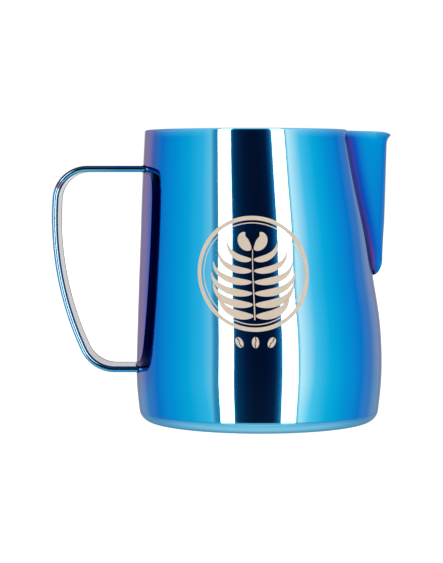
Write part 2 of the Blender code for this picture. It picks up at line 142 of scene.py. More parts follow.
def wall_point(phi, z, depth=0.0):
    """Point of the -Y half of the wall; phi runs from -90 deg (back) to 90 deg (front)."""
    back, front, lean = reach_back(z), reach_front(z), skew(z)
    radius = 0.5 * (back + front)
    x = -back + radius * (1.0 + np.sin(phi)) + 0.5 * lean * np.cos(phi) ** 2
    y = (-radius * np.cos(phi) - 0.5 * lean * (phi + math.pi / 2)
         + 0.25 * lean * np.sin(2 * phi))
    closing = smoother((phi - CLOSE_FROM) / (math.pi / 2 - CLOSE_FROM))
    y = y + 0.5 * math.pi * lean * closing
    return np.stack([x - depth * np.sin(phi), y + depth * np.cos(phi), z + 0.0 * x], axis=-1)


def crease_angle(z):
    """Angle from the front line to the crease where spout and wall meet."""
    share = np.clip((z - SPOUT_BOTTOM) / (RIM_HEIGHT - SPOUT_BOTTOM), 0.0, 1.0)
    return SPOUT_HALF_ANGLE * (1.0 - (1.0 - share) ** 1.65) ** 0.49


def wall_x_at(y, z):
    """X of the back of the wall at a place beside the middle plane."""
    phi = np.linspace(-math.pi / 2, -math.pi / 4, 240)
    points = wall_point(phi, np.full_like(phi, z))
    return float(np.interp(abs(y), -points[:, 1], points[:, 0]))


# -------------------------------------------------------------- mesh helpers
def link_object(name, data):
    obj = bpy.data.objects.new(name, data)
    bpy.context.scene.collection.objects.link(obj)
    return obj


def make_mesh(name, points, faces, mats, mat_index=None, sharp=38.0):
    """Closed mesh from millimetre points; repeated corners and flat faces drop out."""
    rings, kept = [], []
    for k, face in enumerate(faces):
        ring = list(dict.fromkeys(int(corner) for corner in face))
        if len(ring) >= 3:
            rings.append(ring)
            kept.append(k)
    mesh = bpy.data.meshes.new(name)
    mesh.from_pydata((np.asarray(points, float) * 0.001).tolist(), [], rings)
    for mat in mats:
        mesh.materials.append(mat)
    if mat_index is not None:
        mesh.polygons.foreach_set("material_index", np.asarray(mat_index, np.int32)[kept])
    mesh.polygons.foreach_set("use_smooth", np.ones(len(mesh.polygons), bool))
    # a negative volume means the faces look inwards
    places = np.zeros(len(mesh.vertices) * 3)
    mesh.vertices.foreach_get("co", places)
    mesh.calc_loop_triangles()
    corners = np.zeros(len(mesh.loop_triangles) * 3, np.int32)
    mesh.loop_triangles.foreach_get("vertices", corners)
    first, second, third = places.reshape(-1, 3)[corners.reshape(-1, 3).T]
    if np.einsum("ij,ij->i", first, np.cross(second, third)).sum() < 0:
        mesh.flip_normals()
    mesh.set_sharp_from_angle(angle=math.radians(sharp))
    return link_object(name, mesh)


def grid_faces(ids, flip=False):
    """Quads of an index grid."""
    quads = np.stack([ids[:-1, :-1], ids[:-1, 1:], ids[1:, 1:], ids[1:, :-1]], axis=-1)
    quads = quads.reshape(-1, 4)
    if flip:
        quads = quads[:, ::-1]
    return quads.tolist()


def side_edge_faces(ids, first, last, rim_end):
    """Faces that close both side edges of a sheet whose rows go up outside, over
    the rim and down inside: rows first..last are strips, last..rim_end the rim."""
    faces = []
    total = len(ids)
    for j in range(first, last):
        inner = total - 1 - j
        faces.append([ids[j][0], ids[inner][0], ids[inner - 1][0], ids[j + 1][0]])
        faces.append([ids[j][-1], ids[j + 1][-1], ids[inner - 1][-1], ids[inner][-1]])
    faces.append([ids[k][0] for k in range(last, rim_end + 1)][::-1])
    faces.append([ids[k][-1] for k in range(last, rim_end + 1)])
    return faces


# ------------------------------------------------------------------- the wall
def build_wall(mats):
    """Drawn wall, closed below the spout and open at the front above it."""
    segments = 300
    low = np.concatenate([[SEAM_HEIGHT, SEAM_HEIGHT + 0.06],
                          np.linspace(SEAM_HEIGHT + 0.3, SPOUT_BOTTOM, 46)])
    share = np.linspace(0.0, 1.0, 58)[1:]
    high = SPOUT_BOTTOM + (RIM_HEIGHT - RIM_ROUND_H - SPOUT_BOTTOM) * share ** 1.55
    heights = np.concatenate([low, high])
    # profile: (height, depth into the wall)
    profile = [(z, 0.0) for z in heights]
    profile[0] = (heights[0], 0.05)
    for angle in quarter_turn(9):
        profile.append((RIM_HEIGHT - RIM_ROUND_H * (1.0 - math.sin(angle)),
                        RIM_ROUND_W * (1.0 - math.cos(angle))))
    for angle in quarter_turn(3):
        profile.append((RIM_HEIGHT - RIM_INNER_R * (1.0 - math.cos(angle)),
                        RIM_ROUND_W + RIM_INNER_R * math.sin(angle)))
    rim_end = len(profile)
    profile += [(z, WALL) for z in heights[::-1]]

    around = np.linspace(-1.0, 1.0, segments + 1)
    rows, ids, count = [], [], 0
    for z, depth in profile:
        phi = -math.pi / 2 + (math.pi - crease_angle(z)) * np.abs(around)
        row = wall_point(phi, np.full_like(phi, z), depth)
        row[:, 1] = np.where(around > 0, -row[:, 1], row[:, 1])
        if z > SPOUT_BOTTOM + 1e-9:
            ids.append(count + np.arange(segments + 1))
        else:
            row[0, 1] = 0.0
            row = row[:-1]
            ids.append(count + np.concatenate([np.arange(segments), [0]]))
        rows.append(row)
        count += len(row)
    ids = np.array(ids)
    # the second grid is the face that sits on the base joint
    faces = grid_faces(ids) + grid_faces(np.stack([ids[-1], ids[0]]))
    mat_index = ([0] * ((rim_end - 1) * segments)
                 + [1] * ((len(profile) - rim_end + 1) * segments))
    edges = side_edge_faces(ids, len(low) - 1, len(heights) - 1, rim_end)
    return make_mesh("drawn_wall", np.vstack(rows), faces + edges, mats,
                     mat_index + [0] * len(edges))


# -------------------------------------------------------------------- spout
def spout_section(z, across):
    """Outer face of the spout, -Y half; across = 0 at the front, 1 at the crease."""
    phi = math.pi / 2 - crease_angle(z)
    crease = wall_point(phi, z)
    front = reach_front(z)
    share = np.clip((z - SPOUT_BOTTOM) / SPOUT_END_LEN, 0.0, 1.0)
    swell = np.sqrt(np.clip(1.0 - (1.0 - share) ** 2, 0.0, 1.0))
    keel_x = front + (keel_line(z) - front) * swell
    crease_x, crease_y = crease[..., 0], crease[..., 1]
    chord = np.hypot(keel_x - crease_x, crease_y)
    # cubic from the crease to the keel; the arms set how full the cheeks are
    turn = phi + CREASE_TURN * (1.0 - 0.3 * (1.0 - swell))
    crease_arm = 0.395 * chord
    keel_arm = np.minimum(0.19 * chord, 4.1)
    arm_x = crease_x + crease_arm * np.cos(turn)
    arm_y = crease_y + crease_arm * np.sin(turn)
    along = 1.0 - across
    at_crease, at_arm = (1 - along) ** 3, 3 * along * (1 - along) ** 2
    at_keel_arm, at_keel = 3 * along * along * (1 - along), along ** 3
    x = at_crease * crease_x + at_arm * arm_x + at_keel_arm * keel_x + at_keel * keel_x
    y = at_crease * crease_y + at_arm * arm_y - at_keel_arm * keel_arm
    # pouring lip flares forward and to the side
    lip = np.clip((z - (RIM_HEIGHT - LIP_DIP - LIP_LEN)) / LIP_LEN, 0.0, 1.6)
    flare = (1.0 - smoother(across / 0.8)) * LIP_FLARE * lip ** 3
    x = x + flare
    y = y - flare * math.sin(math.radians(25.0)) * across
    return np.stack([x, y, z + 0.0 * x], axis=-1)


def unit(vectors):
    return vectors / np.linalg.norm(vectors, axis=-1, keepdims=True)


def spout_normals(outer, across, side, middle):
    """Outward directions of the spout rows, turned to the wall's own at the crease."""
    normals = np.cross(np.gradient(outer, axis=1), np.gradient(outer, axis=0))
    normals /= np.linalg.norm(normals, axis=-1, keepdims=True) + 1e-12
    if normals[-3, middle, 0] < 0:
        normals = -normals
    # the rows next to the pointed lower end are too short to give a direction
    normals[:6] = normals[6]
    inset = 1.0 - across
    blend = np.exp(-(inset / 0.10) ** 2)[:, None]
    for j, row in enumerate(outer):
        phi = math.pi / 2 - float(crease_angle(row[0, 2]))
        wall_normal = np.stack([np.full_like(inset, math.sin(phi)),
                                side * math.cos(phi), 0.0 * inset], axis=-1)
        normals[j] = unit(normals[j] * (1.0 - blend) + wall_normal * blend)
    return normals


def seam_values(layers, rim_end):
    """How close each point is to the welded crease; 2 in the pit at the lower end."""
    values = []
    for j, row in enumerate(layers):
        step = np.linalg.norm(np.diff(row, axis=0), axis=1)
        run = np.concatenate([[0.0], np.cumsum(step)])
        reach = np.minimum(run, run[-1] - run)
        wide = min(7.2, 0.62 * run[-1] * 0.5 + 0.4)
        near = 1.0 - smoother((reach - 0.10 * wide) / (1.60 * wide))
        level = row[:, 2].mean()
        if j < rim_end:
            near = near * (1.0 - float(smoother((level - (RIM_HEIGHT - 3.6)) / 2.4)))
        pit_height = 1.0 - float(smoother((level - SPOUT_BOTTOM - 1.9) / 1.2))
        pit = pit_height * (1.0 - smoother((reach - 1.5) / 1.2))
        values.append(np.maximum(near, 2.0 * pit))
    return values


def build_spout(mats):
    middle = 60  # column of the keel
    half = np.sin(np.linspace(0.0, 1.0, middle + 1) * math.pi / 2 * 0.97)
    half = half / half[-1]
    columns = np.concatenate([-half[::-1], half[1:]])
    across = np.abs(columns)
    side = np.where(columns < 0, -1.0, 1.0)
    # the edge steps down just past the crease, runs level, then droops at the tip
    step_down = 0.30 * (1.0 - smoother((across - 0.92) / 0.08))
    drop = LIP_DIP * (step_down + 0.73 * (1.0 - smoother(across / 0.45)))
    top = RIM_HEIGHT - drop - RIM_ROUND_H
    rows = []
    for share in np.linspace(0.0, 1.0, 90):
        row = spout_section(SPOUT_BOTTOM + (top - SPOUT_BOTTOM) * share ** 1.9, across)
        row[:, 1] = np.where(columns > 0, -row[:, 1], row[:, 1])
        rows.append(row)
    outer = np.array(rows)
    outer[0] = outer[0, middle]
    outer[0, :, 1] = 0.0
    normals = spout_normals(outer, across, side, middle)

    # rounded edge, then the milk side on the same rows
    layers = list(outer)
    level = normals[-1].copy()
    level[:, 2] = 0.0
    level = unit(level)
    slope = unit(outer[-1] - outer[-2])
    for angle in quarter_turn(9):
        layers.append(outer[-1] + slope * RIM_ROUND_H * math.sin(angle)
                      - level * RIM_ROUND_W * (1.0 - math.cos(angle)))
    crest = layers[-1]
    for angle in quarter_turn(3):
        down = np.array([0.0, 0.0, RIM_INNER_R * (1.0 - math.cos(angle))])
        layers.append(crest - down - level * RIM_INNER_R * math.sin(angle))
    rim_end = len(layers)
    layers += list((outer - normals * WALL)[::-1])
    seam = seam_values(layers, rim_end)

    # the first and last layer shrink to the single point of the keel
    for per_layer in (layers, seam):
        for end in (0, -1):
            per_layer[end] = per_layer[end][middle:middle + 1]
    ids, count = [], 0
    for row in layers:
        if len(row) == 1:
            ids.append(np.full(len(columns), count))
        else:
            ids.append(count + np.arange(len(columns)))
        count += len(row)
    ids = np.array(ids)
    bands = len(columns) - 1
    mat_index = [0] * ((rim_end - 1) * bands) + [1] * ((len(layers) - rim_end) * bands)
    edges = side_edge_faces(ids, 0, len(outer) - 1, rim_end)
    obj = make_mesh("pressed_spout", np.vstack(layers), grid_faces(ids) + edges, mats,
                    mat_index + [0] * len(edges))
    attribute = obj.data.attributes.new("seam", "FLOAT", "POINT")
    attribute.data.foreach_set("value", np.concatenate(seam).astype(np.float32))
    return obj


# ---------------------------------------------------------------- lathe parts
def lathe(name, profile, mats, segments, band_mats=None, wobble=None):
    """Turn (radius, height) points about Z; a profile off the axis closes on itself."""
    rows, ids, count = [], [], 0
    turn = 2.0 * math.pi * np.arange(segments) / segments
    for k, (radius, z) in enumerate(profile):
        if radius < 1e-9:
            rows.append(np.array([[0.0, 0.0, z]]))
            ids.append(np.full(segments + 1, count))
            count += 1
            continue
        radii, heights = np.full(segments, radius), np.full(segments, z)
        if wobble is not None:
            more_radius, more_height = wobble(k, turn)
            radii, heights = radii + more_radius, heights + more_height
        rows.append(np.stack([radii * np.cos(turn), radii * np.sin(turn), heights], axis=-1))
        ids.append(count + np.concatenate([np.arange(segments), [0]]))
        count += segments
    ids = np.array(ids)
    if profile[0][0] > 1e-9:
        ids = np.vstack([ids, ids[:1]])
    mat_index = None if band_mats is None else np.repeat(band_mats, segments)
    return make_mesh(name, np.vstack(rows), grid_faces(ids), mats, mat_index)


def build_base(mats):
    """Base pan: underside with a ring groove, rounded foot, inner floor."""
    wall_r = float(reach_back(SEAM_HEIGHT))
    corner_w = wall_r - FOOT_FLAT_R
    outer = [(0.0, 0.0), (10.0, 0.0), (20.0, 0.0), (GROOVE_IN - 0.3, 0.0)]
    for k in range(13):
        share = k / 12.0
        outer.append((GROOVE_IN + GROOVE_SLOPE * share, GROOVE_DEPTH * float(smoother(share))))
    for k in range(13):
        share = k / 12.0
        outer.append((GROOVE_OUT - GROOVE_SLOPE + GROOVE_SLOPE * share,
                      GROOVE_DEPTH * float(1.0 - smoother(share))))
    outer += [(GROOVE_OUT + 0.3, 0.0), (35.0, 0.0), (FOOT_FLAT_R, 0.0)]
    underside_bands = len(outer) - 1
    full_turn = math.radians(79.0)
    for k in range(1, 25):
        angle = full_turn * k / 25
        outer.append((FOOT_FLAT_R + corner_w * math.sin(angle) / math.sin(full_turn),
                      SEAM_HEIGHT * (1.0 - math.cos(angle)) / (1.0 - math.cos(full_turn))))
    outer.append((wall_r - 0.02, SEAM_HEIGHT))

    inner = [(wall_r - WALL, SEAM_HEIGHT)]
    for k in range(11, 0, -1):
        angle = math.pi / 2 * k / 12
        inner.append((FOOT_FLAT_R + (corner_w - WALL) * math.sin(angle),
                      SEAM_HEIGHT - (SEAM_HEIGHT - WALL) * math.cos(angle)))
    inner.append((FOOT_FLAT_R, WALL))
    for k in range(9):
        share = k / 8.0
        inner.append((GROOVE_OUT + GROOVE_INSET - GROOVE_SLOPE * share,
                      WALL + GROOVE_DEPTH * float(smoother(share))))
    for k in range(9):
        share = k / 8.0
        inner.append((GROOVE_IN + GROOVE_SLOPE - GROOVE_INSET - GROOVE_SLOPE * share,
                      WALL + GROOVE_DEPTH * float(1.0 - smoother(share))))
    inner += [(15.0, WALL), (0.0, WALL)]

    # slots: 2 underside, 0 rounded foot, 1 inside
    band_mats = ([2] * underside_bands + [0] * (len(outer) - 1 - underside_bands)
                 + [1] * len(inner))
    return lathe("base_pan_skin", outer + inner, mats, segments=256, band_mats=band_mats)


def bead_noise(run, seed):
    """Slow irregularity of a hand-run bead, a few sines with fixed phases."""
    return (np.sin(3.1 * run + seed) + 0.6 * np.sin(7.7 * run + 2.3 * seed)
            + 0.4 * np.sin(15.1 * run + 4.1 * seed)) / 2.0


def build_base_bead(mats):
    """Weld ring inside the joint of wall and base."""
    radius = float(reach_back(SEAM_HEIGHT)) - WALL
    half_width, half_height = 0.34, 1.0
    around = [2.0 * math.pi * k / 14 for k in range(14)]
    profile = [(radius - 0.02 + half_width * math.cos(a), SEAM_HEIGHT + half_height * math.sin(a))
               for a in around]

    def wobble(k, turn):
        out, up = math.cos(around[k]), math.sin(around[k])
        # ripples only on the half that faces the axis
        ripple = (out < 0) * (0.05 * np.cos(190.0 * turn + 0.9 * up) * abs(out))
        return (ripple + 0.03 * bead_noise(4 * turn, 1.0) * out,
                0.10 * bead_noise(3 * turn, 2.0) * up)
    return lathe("base_joint_bead", profile, mats, segments=640, wobble=wobble)


# --------------------------------------------------------------- swept beads
RIPPLE, RIPPLE_PITCH = 0.10, 0.62  # stacked-coin ripples: share of the radius, mm apart


def sweep_bead(name, path, radius, mats, sides, closed=False):
    """Weld bead with stacked-coin ripples along a path (mm)."""
    count = len(path)
    if closed:
        tangents = np.roll(path, -1, 0) - np.roll(path, 1, 0)
    else:
        tangents = np.gradient(path, axis=0)
    tangents = unit(tangents)
    steps = np.linalg.norm(np.diff(path, axis=0), axis=1)
    run = np.concatenate([[0.0], np.cumsum(steps)])
    normal = np.array([0.0, 0.0, 1.0])
    if abs(tangents[0] @ normal) > 0.9:
        normal = np.array([1.0, 0.0, 0.0])
    points = []
    for i in range(count):
        normal = unit(normal - tangents[i] * (normal @ tangents[i]))
        binormal = np.cross(tangents[i], normal)
        phase = (run[i] / RIPPLE_PITCH) % 1.0
        size = radius * (1.0 + RIPPLE * (0.5 - phase)
                         + 0.10 * float(bead_noise(run[i] * 0.35, 0.7)))
        if not closed:
            end = min(run[i], run[-1] - run[i]) / (radius * 1.2)
            size *= math.sqrt(max(0.02, min(1.0, end * (2.0 - min(end, 1.0)))))
        for k in range(sides):
            angle = 2.0 * math.pi * k / sides
            points.append(path[i] + size * (math.cos(angle) * normal
                                            + math.sin(angle) * binormal))
    ids = np.arange(count * sides).reshape(count, sides)
    ids = np.hstack([ids, ids[:, :1]])
    if closed:
        ids = np.vstack([ids, ids[:1]])
    faces = grid_faces(ids)
    if not closed:
        faces.append(list(range(sides))[::-1])
        faces.append([(count - 1) * sides + k for k in range(sides)])
    return make_mesh(name, points, faces, mats, sharp=60.0)


def resample(points, step):
    points = np.asarray(points, float)
    run = np.concatenate([[0.0], np.cumsum(np.linalg.norm(np.diff(points, axis=0), axis=1))])
    places = np.linspace(0.0, run[-1], int(run[-1] / step))
    return np.stack([np.interp(places, run, points[:, k]) for k in range(3)], axis=-1)


def build_spout_bead(mats):
    """Bead along the inside of the crease, down one side and up the other."""
    share = np.linspace(0.0, 1.0, 160)[1:]
    top = RIM_HEIGHT - 2.6
    heights = SPOUT_BOTTOM + (top - SPOUT_BOTTOM) * share ** 2.1
    depth = WALL + 0.02
    side = wall_point(math.pi / 2 - crease_angle(heights), heights, depth)
    tip = wall_point(np.array([math.pi / 2]), np.array([SPOUT_BOTTOM]), depth)
    tip[:, 1] = 0.0
    path = np.vstack([side[::-1], tip, side * np.array([1.0, -1.0, 1.0])])
    return sweep_bead("spout_joint_bead", resample(path, 0.2), 0.42, mats, sides=14)


def build_handle_bead(name, weld_z, mats):
    """Bead round the outline of a strap end where it meets the wall."""
    half_z = BEAD_R - 0.02
    outline = []
    for sign in (1.0, -1.0):
        for k in range(60):
            outline.append((sign * (-BEAD_Y + 2 * BEAD_Y * k / 60), sign * half_z))
        for k in range(16):
            angle = math.pi / 2 - math.pi * k / 16
            outline.append((sign * (BEAD_Y + half_z * math.cos(angle)),
                            sign * half_z * math.sin(angle)))
    points = [(wall_x_at(y, weld_z + up) - 0.04, y, weld_z + up) for y, up in outline]
    path = resample(points + points[:1], 0.22)[:-1]
    return sweep_bead(name, path, 0.26, mats, sides=12, closed=True)


# -------------------------------------------------------------------- handle
def grip_corner(radius, z):
    """Centre X of a corner arc that touches the grip arc, and the angle of the touch."""
    x = GRIP_X - math.sqrt((GRIP_R - radius) ** 2 - (z - GRIP_Z) ** 2)
    return x, math.atan2(z - GRIP_Z, x - GRIP_X) % (2 * math.pi)


def strap_straight(x_from, x_to, z, out_z, last=0):
    count = int(abs(x_to - x_from) / STRAP_STEP)
    return [(x_from + (x_to - x_from) * k / count, z, 0.0, out_z) for k in range(count + last)]


def strap_arc(x, z, radius, start, end):
    count = int(radius * abs(end - start) / STRAP_STEP)
    points = []
    for k in range(count):
        angle = start + (end - start) * k / count
        out_x, out_z = math.cos(angle), math.sin(angle)
        points.append((x + radius * out_x, z + radius * out_z, out_x, out_z))
    return points


def handle_path():
    """Strap centre line from the upper to the lower weld: x, z, outward x, outward z."""
    top_z, low_z = TOP_Z - TOP_CORNER_R, LOW_Z + LOW_CORNER_R
    top_x, top_angle = grip_corner(TOP_CORNER_R, top_z)
    low_x, low_angle = grip_corner(LOW_CORNER_R, low_z)
    return (strap_straight(-float(reach_back(TOP_Z)), top_x, TOP_Z, 1.0)
            + strap_arc(top_x, top_z, TOP_CORNER_R, math.pi / 2, top_angle)
            + strap_arc(GRIP_X, GRIP_Z, GRIP_R, top_angle, low_angle)
            + strap_arc(low_x, low_z, LOW_CORNER_R, low_angle, 1.5 * math.pi)
            + strap_straight(low_x, -float(reach_back(LOW_Z)), LOW_Z, -1.0, last=1))


def strap_section():
    """Section parts of (y, outward) points: outer web, +Y bead, inner web, -Y bead.
    The crowned web runs between the beads, nearly flush with them on the finger side."""
    above = math.asin(WEB_OUT / BEAD_R)
    below = math.asin(-WEB_IN / BEAD_R)
    bead_points = 25
    right = []
    for k in range(bead_points):
        angle = (math.pi - above) + (above + below - 2 * math.pi) * k / (bead_points - 1)
        right.append((BEAD_Y + BEAD_R * math.cos(angle), BEAD_R * math.sin(angle)))
    left = [(-y, out) for y, out in right[::-1]]
    web = np.linspace(-1.0, 1.0, 19)[1:-1] * right[0][0]
    outer = [(y, WEB_OUT + WEB_CROWN * (1.0 - (y / BEAD_Y) ** 2) * (1.0 - abs(y / BEAD_Y) ** 6))
             for y in web]
    inner = [(y, WEB_IN) for y in web[::-1]]
    return outer, right, inner, left


def strap_cap(outer, right, inner, left):
    """End faces: quads across the web and one face for each edge bead."""
    web_out = [left[-1]] + outer + [right[0]]
    web_in = [left[0]] + inner[::-1] + [right[-1]]
    quads = zip(web_out[:-1], web_out[1:], web_in[1:], web_in[:-1])
    return [list(quad) for quad in quads] + [right, left]


def build_handle(mats):
    path = handle_path()
    parts = strap_section()
    section = np.array([point for part in parts for point in part])
    around, count = len(section), len(path)
    points = np.zeros((count, around, 3))
    for i, (x, z, out_x, out_z) in enumerate(path):
        points[i, :, 0] = x + out_x * section[:, 1]
        points[i, :, 1] = section[:, 0]
        points[i, :, 2] = z + out_z * section[:, 1]
    # both ends are cut to the curve of the wall and sit in its weld
    for end, step in ((0, 1), (count - 1, -1)):
        for k in range(around):
            x, y, z = points[end, k]
            shift = wall_x_at(y, z) + 0.12 - x
            for ring in range(END_RINGS):
                points[end + step * ring, k, 0] += shift * (1.0 - ring / END_RINGS)
    ids = np.arange(count * around).reshape(count, around)
    faces = grid_faces(np.hstack([ids, ids[:, :1]]))
    starts = np.cumsum([0] + [len(part) for part in parts])
    # slot 1 is the finger side of the web
    mat_index = [1 if starts[2] - 1 <= k < starts[3] else 0 for k in range(around)] * (count - 1)
    for end in (0, count - 1):
        cap = strap_cap(*(ids[end, a:b].tolist() for a, b in zip(starts[:-1], starts[1:])))
        if end == 0:
            cap = [face[::-1] for face in cap]
        faces += cap
        mat_index += [0] * len(cap)
    return make_mesh("strap_handle", points.reshape(-1, 3), faces, mats, mat_index)


# -------------------------------------------------------------------- emblem
EMBLEM_PHI = math.radians(-2.6)
EMBLEM_Z = 55.8
EMBLEM_RINGS = ((19.2, 0.72), (17.5, 0.17))  # radius, half width of the stroke
LEAF_PAIRS = 6
BEANS = ((-5.6, 0.5), (0.0, 0.0), (5.6, -0.5))  # place across, tilt in radians
BEAN_Z = -23.6
BEAN_HALF_WIDTH, BEAN_HALF_HEIGHT = 1.25, 1.862


def emblem_point(across, up, depth):
    """Emblem coordinates (mm along the wall, mm up) to a point on the wall."""
    z = EMBLEM_Z + up
    radius = 0.5 * (reach_back(z) + reach_front(z))
    return wall_point(EMBLEM_PHI + across / radius, z, depth)


def ribbon(line, half_widths, closed, columns=5):
    """Points and faces of a flat etched stroke, as a thin solid."""
    count = len(line)
    if closed:
        along = np.roll(line, -1, 0) - np.roll(line, 1, 0)
    else:
        along = np.gradient(line, axis=0)
    along /= np.linalg.norm(along, axis=1)[:, None] + 1e-12
    sideways = np.stack([-along[:, 1], along[:, 0]], axis=-1)
    offsets = half_widths[:, None] * np.linspace(-1.0, 1.0, columns)[None, :]
    flat = line[:, None, :] + sideways[:, None, :] * offsets[:, :, None]
    top = emblem_point(flat[..., 0], flat[..., 1], -0.035)
    low = emblem_point(flat[..., 0], flat[..., 1], 0.06)
    top_ids = np.arange(count * columns).reshape(count, columns)
    low_ids = top_ids + count * columns
    if closed:
        top_ids = np.vstack([top_ids, top_ids[:1]])
        low_ids = np.vstack([low_ids, low_ids[:1]])
    faces = grid_faces(top_ids) + grid_faces(low_ids, flip=True)
    faces += grid_faces(np.stack([low_ids[:, 0], top_ids[:, 0]], axis=1))
    faces += grid_faces(np.stack([top_ids[:, -1], low_ids[:, -1]], axis=1))
    if not closed:
        faces += grid_faces(np.stack([top_ids[0], low_ids[0]]))
        faces += grid_faces(np.stack([low_ids[-1], top_ids[-1]]))
    return np.vstack([top.reshape(-1, 3), low.reshape(-1, 3)]), faces


def bezier(*controls, count=40):
    share = np.linspace(0.0, 1.0, count)[:, None]
    start, arm, end_arm, end = (np.array(point, float) for point in controls)
    return ((1 - share) ** 3 * start + 3 * share * (1 - share) ** 2 * arm
            + 3 * share * share * (1 - share) * end_arm + share ** 3 * end)


def mirrored(line, half_widths):
    """The same open stroke on both sides of the stem, -X side first."""
    return [(line * np.array([side, 1.0]), half_widths, False) for side in (-1.0, 1.0)]


def leaf_strokes():
    """Pairs of curved leaves up the stem, two closing ones on top, and the stem."""
    strokes = []
    share = np.linspace(0.0, 1.0, 40)
    for k in range(LEAF_PAIRS):
        level = k / (LEAF_PAIRS - 1.0)
        base = -12.6 + 19.4 * level
        reach = 14.6 * math.sin(math.pi * (0.30 + 0.52 * level)) ** 0.8
        rise = 4.6 + 1.2 * (1.0 - level)
        thick = 1.48 - 0.38 * level
        line = bezier((0.42, base - 1.9), (0.45 * reach, base - 2.3),
                      (0.98 * reach, base - 0.4), (reach, base + rise))
        swell = np.sin(math.pi * share ** 0.75) ** 0.8
        strokes += mirrored(line, 0.10 + thick * swell * (1.0 - 0.25 * share))
    line = bezier((0.42, 8.6), (2.4, 9.0), (5.0, 12.6), (2.5, 14.2))
    strokes += mirrored(line, 0.12 + 1.75 * np.sin(math.pi * share ** 0.9) ** 0.7)
    stem = bezier((0.0, -15.9), (0.25, -8.0), (-0.15, 2.0), (0.0, 8.4), count=60)
    strokes.append((stem, 0.13 + 0.10 * np.linspace(1.0, 0.0, 60), False))
    return strokes


def bean_strokes():
    """Beans of two halves each, parted by an S-shaped slit."""
    strokes = []
    up = np.linspace(-1.0, 1.0, 30)
    slit = 0.22 * np.sin(math.pi * up) * (1.0 - up ** 2)
    edge = BEAN_HALF_WIDTH * np.sqrt(np.clip(1.0 - up ** 2, 0.0, 1.0))
    for place, tilt in BEANS:
        cos, sin = math.cos(tilt), math.sin(tilt)
        turn = np.array([[cos, -sin], [sin, cos]])
        for side in (-1.0, 1.0):
            inner = side * 0.16 + slit
            outer = side * edge
            half_widths = np.maximum(0.02, 0.5 * np.abs(outer - inner))
            line = np.stack([0.5 * (inner + outer), BEAN_HALF_HEIGHT * up], -1)
            strokes.append((line @ turn.T + np.array([place, BEAN_Z]), half_widths, False))
    return strokes


def build_emblem(mats):
    """Generic latte-art leaf in a cup ring, with three beans under it."""
    turn = np.linspace(0.0, 2 * math.pi, 240, endpoint=False)
    strokes = [(np.stack([radius * np.cos(turn), radius * np.sin(turn)], -1),
                np.full(240, half_width), True) for radius, half_width in EMBLEM_RINGS]
    rows, faces, count = [], [], 0
    for stroke in strokes + leaf_strokes() + bean_strokes():
        points, quads = ribbon(*stroke)
        rows.append(points)
        faces += [[corner + count for corner in quad] for quad in quads]
        count += len(points)
    return make_mesh("etched_emblem", np.vstack(rows), faces, mats, sharp=50.0)


# ------------------------------------------------------------- node helpers
def srgb(*rgb):
    """Linear RGBA of 0-255 display values."""
    def linear(level):
        level = level / 255.0
        return level / 12.92 if level <= 0.04045 else ((level + 0.055) / 1.055) ** 2.4
    return (*(linear(level) for level in rgb), 1.0)


